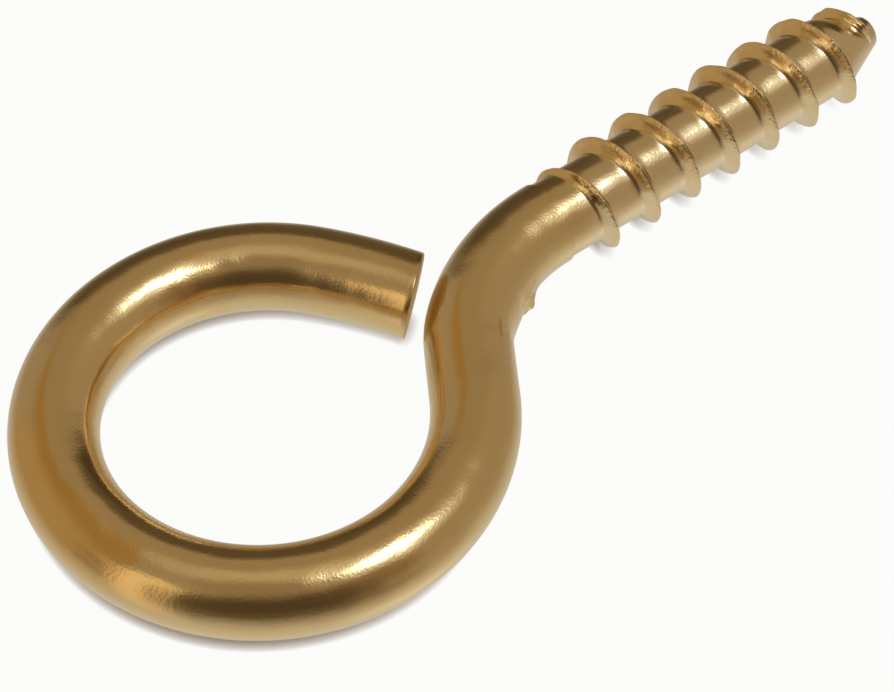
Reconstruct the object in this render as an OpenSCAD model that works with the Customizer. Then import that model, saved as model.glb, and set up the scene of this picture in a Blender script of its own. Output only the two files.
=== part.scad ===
// Screw eye: one length of brass wire, bent into an open eye at one end and rolled with a
// coarse wood thread at the other. All lengths are in millimetres.
//
// The eye's centre is the origin and its plane is XY. The shank runs along +X to the tip, and
// +Z points straight out of the eye. The wire leaves the shank, turns aside through the neck
// and the tighter throat, runs down a short straight limb, and then closes round the eye,
// clockwise seen from +Z, until its sheared end stops short of the neck.

/* [Wire] */
// Diameter of the plain wire
wire_d = 3; // [2.9:0.1:3.4]

/* [Eye] */
// Clear diameter inside the round of the eye
eye_inner_d = 10.6; // [9:0.1:13]
// Clear gap between the free end and the neck
mouth_gap = 0.5; // [0.1:0.05:3]
// Centreline radius of the shoulder, where the limb runs into the round of the eye
shoulder_r = 7.5; // [6:0.1:10]
// How far the shoulder turns
shoulder_sweep = 41; // [25:1:46]
// Centreline radius of the nearly straight end that closes the eye
end_r = 17; // [12:0.5:40]
// How far that end turns
end_sweep = 12; // [6:1:15]
// Angle of the sheared end, away from square to the wire, in the eye's plane
shear_skew = -13; // [-20:1:20]
// Angle of the sheared end, away from square to the wire, across the eye's plane
shear_lean = 7; // [-10:1:10]

/* [Neck] */
// Centreline radius where the shank first turns aside
neck_r = 7.5; // [6:0.1:10]
// How far that bend turns
neck_sweep = 40.5; // [36:0.5:44]
// Centreline radius of the tighter throat that follows it
throat_r = 4.2; // [3.4:0.1:6]
// How far the throat turns
throat_sweep = 15.5; // [12:0.5:20]
// Length of the straight limb between the throat and the shoulder
limb_l = 2.2; // [1.6:0.1:4]
// Length of the plain shank between the neck and the thread
plain_l = 0.3; // [0.2:0.1:20]

/* [Thread] */
// Length of the thread, tip included
thread_l = 14.8; // [8:0.1:40]
// Advance of the thread in one turn
thread_pitch = 1.87; // [1.6:0.01:2.4]
// Diameter across the crests
crest_d = 3.8; // [3.5:0.05:4.2]
// Diameter of the core between the crests
core_d = 2.85; // [2.3:0.05:2.9]
// Width of the ridge where it leaves the core
ridge_w = 0.55; // [0.4:0.05:0.9]
// Width of the flat on the crest
crest_flat = 0.2; // [0.1:0.02:0.3]
// Part of a turn over which the ridge rises out of the shank
runout_turns = 0.5; // [0.3:0.05:1]
// Length of the blunt cone at the tip
tip_l = 1.95; // [1.2:0.05:2.4]
// Diameter of the flat at the very end of the tip
tip_d = 1.2; // [0.6:0.1:1.6]

/* [Hidden] */

brass = [0.72, 0.56, 0.32];

wire_r = wire_d / 2;
core_r = core_d / 2;
crest_r = crest_d / 2;
eye_r = eye_inner_d / 2 + wire_r;

// The route of the wire is a chain of bends and one straight. A heading of 180 degrees points
// from the shank towards the eye, and a positive turn is anticlockwise seen from +Z.
shank_heading = 180;
throat_heading = shank_heading + neck_sweep;
limb_heading = throat_heading + throat_sweep;
eye_heading = limb_heading - shoulder_sweep;

function along(heading) = [cos(heading), sin(heading)];
function left_of(heading) = [-sin(heading), cos(heading)];
// The centre, and the far end, of a bend that starts at p with this heading
function bend_centre(p, heading, r, turn) = p + sign(turn) * r * left_of(heading);
function bend_end(p, heading, r, turn) =
    bend_centre(p, heading, r, turn) - sign(turn) * r * left_of(heading + turn);

// From the round of the eye, whose centre is the origin, the route is walked back to the shank.
// Walked backwards, a bend has its heading turned round and its turn reversed.
eye_start = eye_r * left_of(eye_heading);
shoulder_start = bend_end(eye_start, eye_heading + 180, shoulder_r, shoulder_sweep);
limb_start = shoulder_start - limb_l * along(limb_heading);
throat_start = bend_end(limb_start, limb_heading + 180, throat_r, -throat_sweep);
neck_start = bend_end(throat_start, throat_heading + 180, neck_r, -neck_sweep);
shank_y = neck_start[1];
thread_start_x = neck_start[0] + plain_l;
tip_x = thread_start_x + thread_l;

// Points along the neck, the throat and the limb, which the free end has to stop short of
scan = 12;
neck_line = [
    for (i = [0 : scan]) bend_end(neck_start, shank_heading, neck_r, neck_sweep * i / scan),
    for (i = [0 : scan]) bend_end(throat_start, throat_heading, throat_r, throat_sweep * i / scan),
    for (i = [0 : scan]) limb_start + limb_l * i / scan * along(limb_heading)
];

// Where the free end lies if the round of the eye turns this far
function round_end(sweep) = bend_end(eye_start, eye_heading, eye_r, -sweep);
function free_end(sweep) = bend_end(round_end(sweep), eye_heading - sweep, end_r, -end_sweep);
// The gap that this leaves between the outer corner of the free end and the side of the neck
function outer_corner(sweep) =
    free_end(sweep) + wire_r * left_of(eye_heading - sweep - end_sweep);
function gap_at(sweep) = min([for (p = neck_line) norm(p - outer_corner(sweep))]) - wire_r;
// The first turn of the eye, in steps of sweep_step, that leaves no more than the wanted gap
least_sweep = 200;
most_sweep = 280;
sweep_step = 0.25;
function closing_sweep(sweep = least_sweep) =
    sweep >= most_sweep || gap_at(sweep) <= mouth_gap ? sweep
    : closing_sweep(sweep + sweep_step);
eye_sweep = closing_sweep();

end_start = round_end(eye_sweep);
end_heading = eye_heading - eye_sweep;

// The step from the wire down to the core is a 45 degree cone, and never a sharp step
least_step_l = 0.05;
neck_down_l = max(least_step_l, wire_r - core_r);
cone_start_x = tip_x - tip_l;
// The ridge is a chain of sections, this many to a turn, and its foot is buried in the core
steps = 32;
bury = 0.15;
thread_start_angle = -80;

// A station of the wire is [x, y, heading, radius]. These are the stations along one bend, or
// at the end of a straight, and not the one that it starts from.
bend_step = 6;
function bend_stations(p, heading, r, turn) =
    let (count = ceil(abs(turn) / bend_step))
    [
        for (i = [1 : count])
            let (part = turn * i / count)
            concat(bend_end(p, heading, r, part), [heading + part, wire_r])
    ];

// From the tip back along the core and the plain shank, and on round the eye to the free end
shank_stations = [
    [tip_x, shank_y, shank_heading, tip_d / 2],
    [cone_start_x, shank_y, shank_heading, core_r],
    [thread_start_x + neck_down_l, shank_y, shank_heading, core_r],
    [thread_start_x, shank_y, shank_heading, wire_r],
    [neck_start[0], shank_y, shank_heading, wire_r]
];
neck_stations = concat(
    bend_stations(neck_start, shank_heading, neck_r, neck_sweep),
    bend_stations(throat_start, throat_heading, throat_r, throat_sweep)
);
eye_stations = concat(
    [concat(shoulder_start, [limb_heading, wire_r])],
    bend_stations(shoulder_start, limb_heading, shoulder_r, -shoulder_sweep),
    bend_stations(eye_start, eye_heading, eye_r, -eye_sweep),
    bend_stations(end_start, end_heading, end_r, -end_sweep)
);

// A closed strip of sections with the same number of corners, one after another
module tube(points, corners, last) {
    sides = [
        for (i = [0 : last - 1], k = [0 : corners - 1])
            let (here = i * corners, next_k = (k + 1) % corners)
            [here + k, here + next_k, here + corners + next_k, here + corners + k]
    ];
    start_face = [for (k = [corners - 1 : -1 : 0]) k];
    end_face = [for (k = [0 : corners - 1]) last * corners + k];
    polyhedron(points = points, faces = concat(sides, [start_face, end_face]));
}

// The wire: a round section swept through every station, with its last section sheared
wire_sides = 36;
module wire() {
    stations = concat(shank_stations, neck_stations, eye_stations);
    last = len(stations) - 1;
    points = [
        for (i = [0 : last], k = [0 : wire_sides - 1])
            let (
                at = stations[i],
                across = at[3] * cos(360 * k / wire_sides),
                up = -at[3] * sin(360 * k / wire_sides),
                ahead = i < last ? 0 : across * tan(shear_skew) + up * tan(shear_lean),
                place = [at[0], at[1]] + across * left_of(at[2]) + ahead * along(at[2])
            )
            [place[0], place[1], up]
    ];
    tube(points, wire_sides, last);
}

// Radius of the core at distance x, its cone included
function core_at(x) =
    x < cone_start_x ? core_r
    : core_r + (tip_d / 2 - core_r) * (x - cone_start_x) / tip_l;

// How far the ridge has sunk from its full height at distance x: it rises out of the shank over
// the first part of a turn, and dives into the cone just before the tip
ridge_h = crest_r - core_r;
crest_under = 0.1;
ridge_sunk = ridge_h + crest_under;
// The flanks run on at one slope from the crest to the buried foot, and the ridge ends where the
// whole of its foot still lies inside the tip
ridge_foot_w = ridge_w + (ridge_w - crest_flat) * bury / ridge_h;
foot_from_tip = 0.1;
ridge_end_x = tip_x - ridge_foot_w * (0.5 + foot_from_tip);
dive_l = 0.3;
function rise_at(x) = (x - thread_start_x) / (runout_turns * thread_pitch);
function dive_at(x) = (ridge_end_x - x) / dive_l;
function sunk_at(x) = ridge_sunk * (1 - min(1, rise_at(x), dive_at(x)));

// The ridge: one closed strip of trapezoid sections along a right-hand helix
least_r = 0.1;

module ridge() {
    count = ceil((ridge_end_x - thread_start_x) / thread_pitch * steps);
    stations = [
        for (i = [0 : count])
            thread_start_x + (ridge_end_x - thread_start_x) * i / count
    ];
    points = [
        for (x = stations)
            let (
                angle = thread_start_angle + 360 * (x - thread_start_x) / thread_pitch,
                top_r = core_at(x) + ridge_h - sunk_at(x),
                foot_r = max(least_r, top_r - ridge_h - bury)
            )
            for (corner = [
                [foot_r, -ridge_foot_w / 2],
                [top_r, -crest_flat / 2],
                [top_r, crest_flat / 2],
                [foot_r, ridge_foot_w / 2]
            ])
            [
                x + corner[1],
                shank_y + corner[0] * cos(angle),
                corner[0] * sin(angle)
            ]
    ];
    tube(points, 4, count);
}

module screw_eye() {
    color(brass) {
        wire();
        ridge();
    }
}

screw_eye();
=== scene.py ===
import math

import bmesh
import bpy
import numpy as np
from mathutils import Matrix, Vector, noise


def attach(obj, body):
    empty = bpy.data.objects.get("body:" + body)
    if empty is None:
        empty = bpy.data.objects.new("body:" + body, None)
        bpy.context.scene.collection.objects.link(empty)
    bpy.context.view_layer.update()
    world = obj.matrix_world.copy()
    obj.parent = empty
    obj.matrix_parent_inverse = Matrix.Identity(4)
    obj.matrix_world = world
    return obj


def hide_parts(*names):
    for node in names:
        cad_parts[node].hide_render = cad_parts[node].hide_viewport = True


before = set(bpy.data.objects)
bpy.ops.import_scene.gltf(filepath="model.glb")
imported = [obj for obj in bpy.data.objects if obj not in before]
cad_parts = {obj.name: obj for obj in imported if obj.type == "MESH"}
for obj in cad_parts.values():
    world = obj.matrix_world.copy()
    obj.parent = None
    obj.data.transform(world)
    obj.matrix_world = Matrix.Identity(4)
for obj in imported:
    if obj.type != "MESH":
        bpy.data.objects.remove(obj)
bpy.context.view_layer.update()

MM = 0.001

# Sizes are in millimetres until the mesh is made, and the wire's are the same as the solid's own.
# The eye's centre is the origin, the shank runs along +X, and a heading of 180 degrees points
# from the shank to the eye.
WIRE_R = 1.5
EYE_R = 6.8
EYE_SWEEP = 246.5
SHOULDER_R, SHOULDER_SWEEP = 7.5, 41.0
LIMB_L = 2.2
THROAT_R, THROAT_SWEEP = 4.2, 15.5
NECK_R, NECK_SWEEP = 7.5, 40.5
END_R, END_SWEEP = 17.0, 12.0
PLAIN_L = 0.3

# The free end is sheared at a slant, in the eye's plane and across it. The rings of points
# before it take up the slant over this length.
SHEAR_SKEW, SHEAR_LEAN = -13.0, 7.0
SHEAR_FADE_L = 1.2

THREAD_L = 14.8
PITCH = 1.87
THREAD_START_ANGLE = -80.0
CREST_R = 1.9
CORE_R = 1.425
RIDGE_H = CREST_R - CORE_R
STEP_DOWN_L = 0.3
TIP_L = 1.95
TIP_R = 0.6

# The ridge is finer than the solid's. Its flanks start from a little over its height, because
# the round on the crest takes some off, they are hollow by this power, and a small fillet runs
# into the core.
RIDGE_W = 0.64
CREST_FLAT = 0.06
CREST_ROUND = 0.05
FLANK_TOP, FLANK_HOLLOW = 1.06, 1.35
FILLET = 0.05
# The ridge rises from this far under the shank's surface over part of a turn. On the tip it
# loses this share of its height, and then it dives under again.
CREST_UNDER = 0.1
RUNOUT_TURNS = 0.7
TIP_LOWER = 0.3
RIDGE_END_FROM_TIP = 0.4
DIVE_L = 0.3

# Points round the wire, and the step between rings of them along it
SIDES = 128
RING_ANGLES = THREAD_START_ANGLE + 360 * np.arange(SIDES) / SIDES
STEP = 0.16


def along(heading):
    return np.array([math.cos(math.radians(heading)), math.sin(math.radians(heading))])


def left_of(heading):
    return np.array([-math.sin(math.radians(heading)), math.cos(math.radians(heading))])


def bend_end(start, heading, radius, turn):
    """The far end of a bend: a positive turn is anticlockwise seen from +Z."""
    side = math.copysign(radius, turn)
    return start + side * left_of(heading) - side * left_of(heading + turn)


# From the round of the eye, whose centre is the origin, the route is walked back to the shank
LIMB_HEADING = 180 + NECK_SWEEP + THROAT_SWEEP
EYE_HEADING = LIMB_HEADING - SHOULDER_SWEEP
EYE_START = EYE_R * left_of(EYE_HEADING)
SHOULDER_START = bend_end(EYE_START, EYE_HEADING + 180, SHOULDER_R, SHOULDER_SWEEP)
LIMB_START = SHOULDER_START - LIMB_L * along(LIMB_HEADING)
THROAT_START = bend_end(LIMB_START, LIMB_HEADING + 180, THROAT_R, -THROAT_SWEEP)
NECK_START = bend_end(THROAT_START, 180 + NECK_SWEEP + 180, NECK_R, -NECK_SWEEP)
SHANK_Y = NECK_START[1]
THREAD_START_X = NECK_START[0] + PLAIN_L
TIP_X = THREAD_START_X + THREAD_L
CONE_START_X = TIP_X - TIP_L
RIDGE_END_X = TIP_X - RIDGE_END_FROM_TIP


def wire_route():
    """Stations from the neck round the eye to the free end: x, y, heading and length so far."""
    chain = [
        (NECK_R, NECK_SWEEP), (THROAT_R, THROAT_SWEEP), (None, LIMB_L),
        (SHOULDER_R, -SHOULDER_SWEEP), (EYE_R, -EYE_SWEEP), (END_R, -END_SWEEP),
    ]
    place, heading, length = np.array(NECK_START), 180.0, 0.0
    stations = [(place[0], place[1], heading, length)]
    for radius, turn in chain:
        run = turn if radius is None else math.radians(abs(turn)) * radius
        count = math.ceil(run / STEP)
        for i in range(1, count + 1):
            if radius is None:
                spot, facing = place + turn * i / count * along(heading), heading
            else:
                spot = bend_end(place, heading, radius, turn * i / count)
                facing = heading + turn * i / count
            stations.append((spot[0], spot[1], facing, length + run * i / count))
        place, heading, length = spot, facing, length + run
    return stations


ROUTE = wire_route()
WIRE_LENGTH = ROUTE[-1][3]


def core_at(x):
    """Radius of the shank under the thread, with the step down and the tip's cone."""
    down = WIRE_R - np.clip((x - THREAD_START_X) / STEP_DOWN_L, 0, 1) * (WIRE_R - CORE_R)
    cone = CORE_R + (TIP_R - CORE_R) * np.clip((x - CONE_START_X) / TIP_L, 0, 1)
    return np.minimum(down, cone)


# The rolled crest is ragged: its height and its place wander a little from one knot to the next,
# and the knots are this part of a turn apart along the helix
KNOTS = 1200
KNOT_TURNS = 1 / 26
KNOTS_START = -4
RAGGED = np.random.default_rng(11).normal(0, 1, (2, KNOTS))
RAGGED_KNOTS = KNOTS_START + KNOT_TURNS * np.arange(KNOTS)
CREST_WANDER, MOST_WANDER = 0.02, 0.04
CREST_SWAY = 0.012


def crest_height(turns):
    """How much the crest stands above or below its true height here."""
    wander = CREST_WANDER * np.interp(turns, RAGGED_KNOTS, RAGGED[0])
    return np.clip(wander, -MOST_WANDER, MOST_WANDER)


def crest_sway(turns):
    """How far along the shank the crest strays from its true helix here."""
    return CREST_SWAY * np.interp(turns, RAGGED_KNOTS, RAGGED[1])


def shank_radius(x, angle):
    """Radius of the threaded shank at distance x and at this angle round it."""
    turns = (x - THREAD_START_X) / PITCH - (angle - THREAD_START_ANGLE) / 360
    core = core_at(x)
    height = np.full_like(x, -1.0)
    for crest in (np.floor(turns), np.ceil(turns)):
        off = (turns - crest) * PITCH
        middle = x - off
        rise = (middle - THREAD_START_X) / (RUNOUT_TURNS * PITCH)
        dive = (RIDGE_END_X - middle) / DIVE_L
        sunk = (RIDGE_H + CREST_UNDER) * (1 - np.minimum(1, np.minimum(rise, dive)))
        lower = TIP_LOWER * np.clip((middle - CONE_START_X) / TIP_L, 0, 1)
        turn = (middle - THREAD_START_X) / PITCH
        top = core_at(middle) + RIDGE_H * (1 - lower) - sunk
        past = np.abs(off - crest_sway(turn)) - CREST_FLAT / 2
        share = FLANK_TOP - (past + np.hypot(past, CREST_ROUND)) / (RIDGE_W - CREST_FLAT)
        flank = top - RIDGE_H + RIDGE_H * np.sign(share) * np.abs(share) ** FLANK_HOLLOW
        nearly_top = np.clip(1 - (top - flank) / (0.5 * RIDGE_H), 0, 1)
        height = np.maximum(height, flank + crest_height(turn) * nearly_top)
    blend = np.clip(0.5 + (height - core) / (2 * FILLET), 0, 1)
    return core + (height - core) * blend + FILLET * blend * (1 - blend)


# Rows of points over one pitch: at these shares of the way down a flank, and of the way across
# the core from one foot to the next
FLANK_SHARES = (0.06, 0.13, 0.25, 0.42, 0.6, 0.76, 0.9, 1)
CORE_SHARES = (0.14, 0.28, 0.43, 0.57, 0.72, 0.86)
FOOT_MARGIN = 0.06
# Further turns of rows before the thread and after it, which are flattened onto the shank's ends
TURNS_BEFORE, TURNS_AFTER = 2, 3


def row_offsets():
    """How far each row of points lies from the crest before it, close together on the flanks."""
    crest = CREST_FLAT / 2
    foot = RIDGE_W / 2 + FOOT_MARGIN
    down = [crest + (foot - crest) * t for t in FLANK_SHARES]
    core = [foot + (PITCH - 2 * foot) * t for t in CORE_SHARES]
    up = [PITCH - offset for offset in reversed(down)]
    return [-crest, -crest / 2, 0, crest / 2, crest] + down + core + up


def thread_grid():
    """Points of the threaded shank on rows that follow the helix: x, angle, radius, rows a turn."""
    offsets = row_offsets()
    turns = range(-TURNS_BEFORE, math.ceil(THREAD_L / PITCH) + TURNS_AFTER)
    starts = np.array([THREAD_START_X + n * PITCH + offset for n in turns for offset in offsets])
    x = starts[:, None] + PITCH * (RING_ANGLES - THREAD_START_ANGLE)[None, :] / 360
    x = np.clip(x, NECK_START[0], TIP_X)
    angle = np.broadcast_to(RING_ANGLES[None, :], x.shape)
    return x, angle, shank_radius(x, angle), len(offsets)


# Marks of the bending tool inside the neck. Each is a height, its middle and spread along the
# wire, and its middle and spread in degrees round it. None of them reaches past PINCH_END_L.
PINCH_FILL = (0.12, 4.3, 1.6, -18, 30)
PINCH_BURR = (0.19, 3.2, 0.5, -21, 15)
PINCH_NOTCH = (-0.07, 3.95, 0.25, -4, 20)
GRIT_HEIGHT = 0.09
GRIT_PLACE = (3.4, 0.7, -14, 26)
GRIT_ALONG, GRIT_ROUND = 6, 5
PINCH_END_L = 9.0


def pinch(length, across, up):
    """How far the bending tool's pinch pushes the wire's surface out, inside the neck."""
    round_angle = math.degrees(math.atan2(up, across))

    def near(place, middle, spread):
        return math.exp(-((place - middle) / spread) ** 2)

    def mark(height, middle, spread, angle, angle_spread):
        return height * near(length, middle, spread) * near(round_angle, angle, angle_spread)

    place = Vector((length * GRIT_ALONG, across * GRIT_ROUND, up * GRIT_ROUND))
    grit = GRIT_HEIGHT * noise.noise(place)
    return mark(*PINCH_FILL) + mark(*PINCH_BURR) + mark(*PINCH_NOTCH) + mark(grit, *GRIT_PLACE)


class Skin:
    """Points and faces in rings, and the place of each point on the wire if it were pulled
    straight: its length from the neck, and how far it stands to the side and up."""

    def __init__(self):
        self.points, self.straight, self.faces = [], [], []
        angles = np.radians(RING_ANGLES)
        self.circle = list(zip(np.cos(angles), np.sin(angles)))

    def add(self, point, length, side, up):
        self.points.append(point)
        self.straight.append((length, side, up))

    def tip_ring(self, share, proud):
        """A ring on the tip's flat end, this share of its radius."""
        x = TIP_X + proud
        for c, s in self.circle:
            side, up = TIP_R * share * c, TIP_R * share * s
            self.add((x, SHANK_Y + side, up), NECK_START[0] - x, side, up)

    def wire_ring(self, station, inset=0.0, proud=0.0):
        """A ring round the wire, or inset from its surface and proud of it on the sheared face."""
        x, y, heading, length = station
        left, forward = left_of(heading), along(heading)
        skew, lean = math.tan(math.radians(SHEAR_SKEW)), math.tan(math.radians(SHEAR_LEAN))
        slant = max(0.0, 1 - (WIRE_LENGTH - length) / SHEAR_FADE_L)
        radius = WIRE_R - inset
        for c, s in self.circle:
            across, up = -radius * c, radius * s
            if length < PINCH_END_L:
                swell = 1 + pinch(length, across, up) / WIRE_R
                across, up = across * swell, up * swell
            ahead = slant * (across * skew + up * lean) + proud
            spot = (x + across * left[0] + ahead * forward[0],
                    y + across * left[1] + ahead * forward[1], up)
            self.add(spot, length + inset, -across, up)

    def join_rings(self, start, count):
        """Quads between rings that follow one another, and a flat face inside the last one."""
        for ring in range(start, start + (count - 1) * SIDES, SIDES):
            for k in range(SIDES):
                n = (k + 1) % SIDES
                self.faces.append((ring + k, ring + SIDES + k, ring + SIDES + n, ring + n))
        last = start + (count - 1) * SIDES
        self.faces.append(tuple(range(last, last + SIDES)))


def skin_thread(skin):
    """The threaded shank, each row of which runs on into the row that is one turn further on."""
    x, angle, radius, rows_a_turn = thread_grid()
    sides, ups = radius * np.cos(np.radians(angle)), radius * np.sin(np.radians(angle))
    for px, side, up in zip(x.ravel(), sides.ravel(), ups.ravel()):
        skin.add((px, SHANK_Y + side, up), NECK_START[0] - px, side, up)
    rows = x.shape[0]
    for i in range(rows - 1):
        here, beyond = i * SIDES, (i + 1) * SIDES
        for k in range(SIDES - 1):
            skin.faces.append((here + k, here + k + 1, beyond + k + 1, beyond + k))
        if i + 1 + rows_a_turn < rows:
            end, turned = SIDES - 1, rows_a_turn * SIDES
            skin.faces.append((here + end, here + turned, beyond + turned, beyond + end))


# Rings on the tip's flat end: their share of its radius, and how far forwards they stand
TIP_RINGS = ((1.0, 0.0), (0.92, 0.02), (0.6, 0.02), (0.25, 0.02))
# Rings on the sheared face: how far inside the wire's surface and how far forwards they stand
SHEAR_RINGS = ((0.012, 0.022), (0.04, 0.035), (0.5, 0.035), (1.0, 0.035), (1.35, 0.035))
# In metres, points closer than this are one point, and edges shorter than this are taken out
WELD_DISTANCE, LEAST_EDGE = 2e-7, 1e-8


def build_wire():
    """The whole screw eye as one closed mesh."""
    skin = Skin()
    skin_thread(skin)

    tip_start = len(skin.points)
    for share, proud in TIP_RINGS:
        skin.tip_ring(share, proud)
    skin.join_rings(tip_start, len(TIP_RINGS))

    wire_start = len(skin.points)
    for station in ROUTE:
        skin.wire_ring(station)
    for inset, proud in SHEAR_RINGS:
        skin.wire_ring(ROUTE[-1], inset, proud)
    skin.join_rings(wire_start, len(ROUTE) + len(SHEAR_RINGS))

    mesh = bpy.data.meshes.new("screw_eye_wire")
    mesh.from_pydata([tuple(c * MM for c in p) for p in skin.points], [], skin.faces)
    straight = mesh.attributes.new("straight", "FLOAT_VECTOR", "POINT")
    straight.data.foreach_set("vector", np.array(skin.straight, np.float32).ravel())
    bm = bmesh.new()
    bm.from_mesh(mesh)
    bmesh.ops.remove_doubles(bm, verts=bm.verts, dist=WELD_DISTANCE)
    bmesh.ops.dissolve_degenerate(bm, edges=bm.edges, dist=LEAST_EDGE)
    bmesh.ops.recalc_face_normals(bm, faces=bm.faces)
    bm.to_mesh(mesh)
    bm.free()
    mesh.polygons.foreach_set("use_smooth", [True] * len(mesh.polygons))
    wire = bpy.data.objects.new("screw_eye_wire", mesh)
    bpy.context.scene.collection.objects.link(wire)
    return wire


class Value:
    """An output of a node. Arithmetic on it adds Math nodes."""

    def __init__(self, shader, socket):
        self.shader, self.socket = shader, socket

    def _math(self, operation, a, b):
        return self.shader.node("ShaderNodeMath", {"operation": operation}, {0: a, 1: b})

    def __add__(self, other):
        return self._math("ADD", self, other)

    def __radd__(self, other):
        return self._math("ADD", other, self)

    def __sub__(self, other):
        return self._math("SUBTRACT", self, other)

    def __rsub__(self, other):
        return self._math("SUBTRACT", other, self)

    def __mul__(self, other):
        return self._math("MULTIPLY", self, other)

    def __rmul__(self, other):
        return self._math("MULTIPLY", other, self)

    def power(self, exponent):
        return self._math("POWER", self, exponent)


class Shader:
    """The node tree of a material or of the world."""

    def __init__(self, owner):
        owner.use_nodes = True
        self.tree = owner.node_tree
        self.tree.nodes.clear()

    def node(self, kind, settings=None, sockets=None, out=0):
        """A node of this kind: its settings are set first, then its sockets' values or links."""
        made = self.tree.nodes.new(kind)
        for name, value in (settings or {}).items():
            setattr(made, name, value)
        for key, value in (sockets or {}).items():
            if isinstance(value, Value):
                self.tree.links.new(value.socket, made.inputs[key])
            else:
                made.inputs[key].default_value = value
        return Value(self, made.outputs[out]) if len(made.outputs) else None

    def mix(self, share, a, b):
        """Colour a turning into colour b."""
        return self.node("ShaderNodeMix", {"data_type": "RGBA"}, {0: share, 6: a, 7: b}, out=2)

    def noise(self, place, scale, detail):
        return self.node("ShaderNodeTexNoise", {}, {
            "Vector": place, "Scale": scale, "Detail": detail})

    def from_to(self, value, start, end, curve="LINEAR"):
        """0 up to start and then rising to 1 at end, which may be the lower of the two."""
        return self.node("ShaderNodeMapRange", {"interpolation_type": curve}, {
            "Value": value, "From Min": start, "From Max": end})

    def scaled(self, vector, by):
        """A vector, each of its three parts by its own number."""
        return self.node("ShaderNodeVectorMath", {"operation": "MULTIPLY"}, {0: vector, 1: by})


DEEP_BRASS, PALE_BRASS = (0.81, 0.61, 0.305, 1), (0.865, 0.67, 0.36, 1)
# paler brass on the roll-formed thread: partly its finish, partly a painted highlight for the
# grooves
ROLLED_BRASS_AND_HIGHLIGHT = (0.89, 0.72, 0.445, 1)
# The drawing die's marks: this share as many to a millimetre along the wire as across it
DRAWN_SQUEEZE = 0.06


def brass_finish():
    """Drawn and polished brass: paler on the roll-formed thread, partly its finish and partly a
    painted highlight for its grooves, torn on the crests, dull where cut.
    """
    material = bpy.data.materials.new("polished_brass_wire")
    s = Shader(material)
    # the attribute is in millimetres along the wire, to the side and up
    place = s.node("ShaderNodeAttribute", {"attribute_name": "straight"}, out=1)
    along_wire = s.node("ShaderNodeSeparateXYZ", {}, {"Vector": place})
    from_axis = s.node("ShaderNodeVectorMath", {"operation": "LENGTH"},
                       {0: s.scaled(place, (0, 1, 1))}, out=1)
    # the threaded end has lengths below nought, and the sheared face lengths beyond the wire's
    # the thread's length is paler, partly its finish and partly a painted highlight for its grooves
    rolled_and_highlight = s.from_to(along_wire, -PLAIN_L, -4 * PLAIN_L)
    cut = s.from_to(along_wire, WIRE_LENGTH + 0.01, WIRE_LENGTH + 0.04)
    on_crest = s.from_to(from_axis, WIRE_R + 0.1, WIRE_R + 0.3, "SMOOTHSTEP")

    colour = s.mix(s.noise(place, 0.5, 3.0), DEEP_BRASS, PALE_BRASS)
    colour = s.mix(rolled_and_highlight, colour, ROLLED_BRASS_AND_HIGHLIGHT)
    drawn = s.noise(s.scaled(place, (DRAWN_SQUEEZE, 1, 1)), 5.0, 3.0)
    grain = s.noise(place, 11.0, 1.0)
    waves = s.noise(place, 0.7, 1.0)
    torn = s.noise(place, 8.0, 3.0)
    height = 0.14 * grain + 0.05 * drawn + 1.5 * waves + 1.2 * torn * on_crest
    bump = s.node("ShaderNodeBump", {}, {
        "Height": height, "Strength": 0.35, "Distance": 0.1 * MM})
    surface = s.node("ShaderNodeBsdfPrincipled", {}, {
        "Base Color": colour, "Metallic": 1.0, "Roughness": 0.10 + 0.14 * drawn + 0.4 * cut,
        "Normal": bump, "Coat Weight": 1 - cut, "Coat Roughness": 0.09})
    s.node("ShaderNodeOutputMaterial", {}, {"Surface": surface})
    return material


# Degrees that the camera is turned from +Y towards +X, looks down and is rolled
LOOK_TURN, LOOK_DOWN, LOOK_ROLL = 39.6184, 49.9427, 0.8477
# How far in front of it the eye's centre is, and in an image of this size, in pixels, where that
# stands from the top left corner and how long the focal length is
LOOK_DISTANCE = 104.17
IMAGE_W, IMAGE_H = 894, 692
EYE_PIXEL_X, EYE_PIXEL_Y = 263.22, 422.85
FOCAL_PIXELS = 3197.07


def set_camera():
    """A camera without shift, placed so that the eye's centre falls on its spot in the image."""
    turn, height, roll = (math.radians(a) for a in (LOOK_TURN, LOOK_DOWN, LOOK_ROLL))
    right = np.array([math.cos(turn), -math.sin(turn), 0])
    away = np.array([math.sin(turn), math.cos(turn), 0])
    up = math.sin(height) * away + math.cos(height) * np.array([0, 0, 1])
    forward = math.cos(height) * away - math.sin(height) * np.array([0, 0, 1])
    right, up = (math.cos(roll) * right + math.sin(roll) * up,
                 -math.sin(roll) * right + math.cos(roll) * up)
    aside = (EYE_PIXEL_X - IMAGE_W / 2) * LOOK_DISTANCE / FOCAL_PIXELS
    below = (EYE_PIXEL_Y - IMAGE_H / 2) * LOOK_DISTANCE / FOCAL_PIXELS
    spot = -(aside * right - below * up + LOOK_DISTANCE * forward) * MM
    camera = bpy.data.objects.new("camera", bpy.data.cameras.new("camera"))
    camera.data.sensor_width = 36.0
    camera.data.lens = FOCAL_PIXELS * camera.data.sensor_width / IMAGE_W
    camera.data.clip_start, camera.data.clip_end = 0.005, 10.0
    axes = Matrix([list(right), list(up), list(-forward)]).transposed()
    camera.matrix_world = Matrix.Translation(Vector(spot)) @ axes.to_4x4()
    bpy.context.scene.collection.objects.link(camera)
    bpy.context.scene.camera = camera


AWAY = Vector((math.sin(math.radians(LOOK_TURN)), math.cos(math.radians(LOOK_TURN)), 0))
RIGHT = Vector((AWAY.y, -AWAY.x, 0))


def toward(turn, height):
    """The direction this many degrees to the right of straight ahead, and this high."""
    turn, height = math.radians(turn), math.radians(height)
    flat = math.cos(turn) * AWAY + math.sin(turn) * RIGHT
    return math.cos(height) * flat + Vector((0, 0, math.sin(height)))


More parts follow.
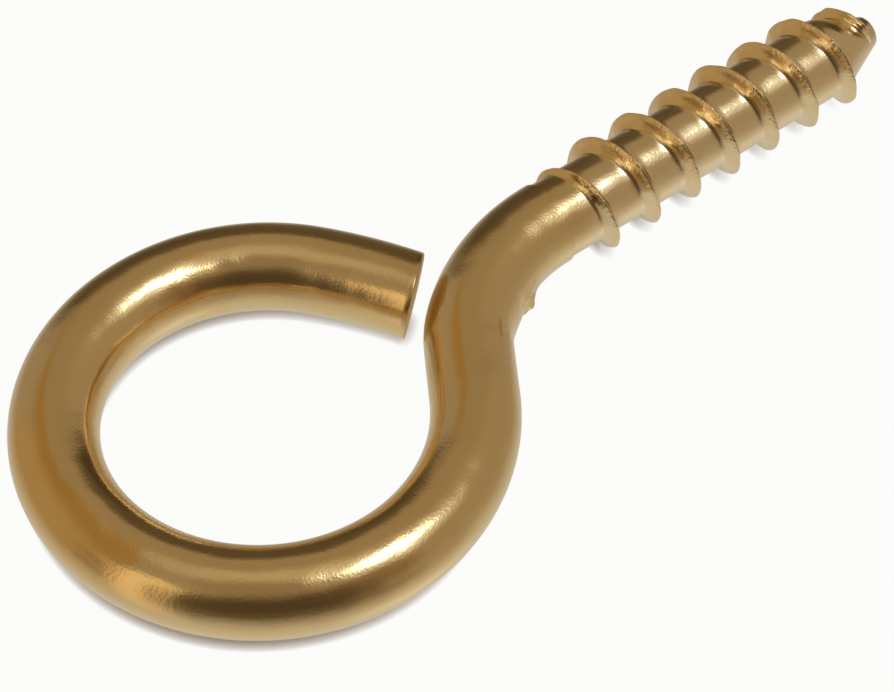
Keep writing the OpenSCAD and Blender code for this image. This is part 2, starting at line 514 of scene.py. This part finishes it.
def light_path(s, *names):
    """1 where any of these kinds of ray looks, and 0 for the others."""
    node = s.node("ShaderNodeLightPath").socket.node
    seen = sum(Value(s, node.outputs[name]) for name in names)
    return s.node("ShaderNodeMath", {"operation": "MINIMUM"}, {0: seen, 1: 1.0})


# The table touches the thread's crests this far along the shank from the eye's centre
REST_X = 14.0
TABLE_HALF_W = 900.0
TABLE_SQUARES = 24
# The table and the room behind it as the camera sees them, and the table as the brass mirrors it
BACKGROUND_WHITE = (1.0, 1.0, 0.985, 1)
TABLE_IN_BRASS = (0.67, 0.63, 0.53, 1)
# The share of that in what the brass mirrors, and how much more of it the camera sees
WHITE_SHARE, WHITE_MORE = 0.85, 0.11
SHADOW_REACH = 0.45


def lay_table():
    """A pale table under the piece, touching the far side of the eye and the thread's crests."""
    slope = -(CREST_R - WIRE_R) / (REST_X + EYE_R)
    bm = bmesh.new()
    bmesh.ops.create_grid(
        bm, x_segments=TABLE_SQUARES, y_segments=TABLE_SQUARES, size=TABLE_HALF_W * MM)
    for v in bm.verts:
        v.co.z = (-WIRE_R + slope * EYE_R) * MM + slope * v.co.x
    mesh = bpy.data.meshes.new("table")
    bm.to_mesh(mesh)
    bm.free()
    table = bpy.data.objects.new("table", mesh)
    bpy.context.scene.collection.objects.link(table)
    mesh.materials.append(table_finish())


def table_finish():
    """White to the camera, creamier in the brass, and there glossy at a low angle."""
    material = bpy.data.materials.new("pale_table")
    s = Shader(material)
    eye = light_path(s, "Is Camera Ray")
    seen = light_path(s, "Is Camera Ray", "Is Glossy Ray", "Is Transmission Ray")
    # close to the wire the table is in its shadow, which is deeper to the camera
    open_sky = s.node("ShaderNodeAmbientOcclusion", {"samples": 8}, {
        "Distance": SHADOW_REACH * MM}, out=1)
    lit = (WHITE_SHARE * seen + WHITE_MORE * eye) * open_sky.power(1 + eye)
    white = s.mix(eye, TABLE_IN_BRASS, BACKGROUND_WHITE)
    matt = s.node("ShaderNodeBsdfDiffuse", {}, {"Color": (0.9, 0.9, 0.88, 1)})
    bright = s.node("ShaderNodeEmission", {}, {"Color": white, "Strength": 1.0})
    paper = s.node("ShaderNodeMixShader", {}, {0: lit, 1: matt, 2: bright})
    sheen = s.node("ShaderNodeBsdfGlossy", {}, {"Color": (1, 1, 1, 1), "Roughness": 0.25})
    low_angle = s.node("ShaderNodeLayerWeight", {}, {"Blend": 0.5}, out=1)
    gloss = 1.3 * low_angle.power(1.4)
    top = s.node("ShaderNodeMixShader", {}, {0: gloss * (1 - eye), 1: paper, 2: sheen})
    s.node("ShaderNodeOutputMaterial", {}, {"Surface": top})
    return material


# The room that the brass mirrors, all of it in this warm light. Its walls are a level and a tint.
WARM_LIGHT = (0.81, 0.685, 0.515)
WALLS = (0.46, (1.0, 0.92, 0.78))
# Each patch is a turn to the right of straight ahead and a height, then the angles from its
# middle at which it starts to fade and is gone, its level and its tint. Later ones lie on top.
ROOM_PATCHES = [
    # the ceiling, and the top of the far wall
    (0, 90, 12, 26, 0.635, (1.0, 0.955, 0.87)),
    (0, 50, 6, 34, 0.42, (1.0, 0.90, 0.70)),
    # the golden side to the left, with a paler pane and a bright upright strip in it
    (-72, 28, 34, 45, 0.42, (1.0, 0.72, 0.30)),
    (-80, 5, 12, 50, 0.52, (1.0, 0.82, 0.52)),
    (-38, 16, 8, 24, 0.44, (1.0, 0.94, 0.86)),
    (-115, 12, 2, 12, 0.36, (1.0, 0.8, 0.5)),
    *((-134, height, 3, 15, 1.15, (1.0, 0.88, 0.66)) for height in (9, 21, 33)),
    # the dark far end
    (2, 3, 28, 42, 0.14, (1.0, 0.84, 0.60)),
    (22, 11, 4, 15, 0.08, (1.0, 0.8, 0.5)),
    (-18, 8, 4, 15, 0.11, (1.0, 0.85, 0.6)),
    # the dark near end, behind the camera
    (142, 22, 8, 32, 0.30, (1.0, 0.76, 0.55)),
    (180, 62, 2, 26, 0.37, (1.0, 0.88, 0.7)),
    (178, 6, 16, 54, 0.10, (1.0, 0.83, 0.6)),
    # the glow round the lamp
    (100, 60, 4, 27, 1.15, (0.90, 1.0, 1.14)),
]


def light_room():
    """A quiet warm room: a pale ceiling, a golden side, a dark far end and a dark near end."""
    world = bpy.data.worlds.new("studio")
    bpy.context.scene.world = world
    s = Shader(world)
    # in a world, the first output of this node is the direction that is looked in
    direction = s.node("ShaderNodeTexCoord")

    def shade(level, tint):
        return tuple(level * t * w for t, w in zip(tint, WARM_LIGHT)) + (1,)

    room = shade(*WALLS)
    for turn, height, inner, outer, level, tint in ROOM_PATCHES:
        near = s.node("ShaderNodeVectorMath", {"operation": "DOT_PRODUCT"},
                      {0: direction, 1: toward(turn, height)}, out=1)
        edge, full = math.cos(math.radians(outer)), math.cos(math.radians(inner))
        room = s.mix(s.from_to(near, edge, full, "SMOOTHERSTEP"), room, shade(level, tint))
    sky = s.mix(light_path(s, "Is Camera Ray"), room, BACKGROUND_WHITE)
    back = s.node("ShaderNodeBackground", {}, {"Color": sky, "Strength": 1.0})
    s.node("ShaderNodeOutputWorld", {}, {"Surface": back})


LAMP_TURN, LAMP_HEIGHT = 103, 62
LAMP_DISTANCE = 500.0
LAMP_LENGTH, LAMP_WIDTH = 200.0, 150.0
LAMP_WATTS = 0.27


def hang_lamp():
    """One soft lamp, high to the right, aimed at the eye."""
    light = bpy.data.lights.new("soft_key", "AREA")
    light.shape = "RECTANGLE"
    light.size, light.size_y = LAMP_LENGTH * MM, LAMP_WIDTH * MM
    light.energy = LAMP_WATTS
    lamp = bpy.data.objects.new("soft_key", light)
    lamp.location = toward(LAMP_TURN, LAMP_HEIGHT) * LAMP_DISTANCE * MM
    lamp.rotation_mode = "QUATERNION"
    lamp.rotation_quaternion = (-lamp.location).to_track_quat("-Z", "Y")
    bpy.context.scene.collection.objects.link(lamp)


set_camera()
wire = build_wire()
wire.data.materials.append(brass_finish())
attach(wire, "root")
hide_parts("screw_eye")

lay_table()
light_room()
hang_lamp()

bpy.context.scene.view_settings.view_transform = "Standard"
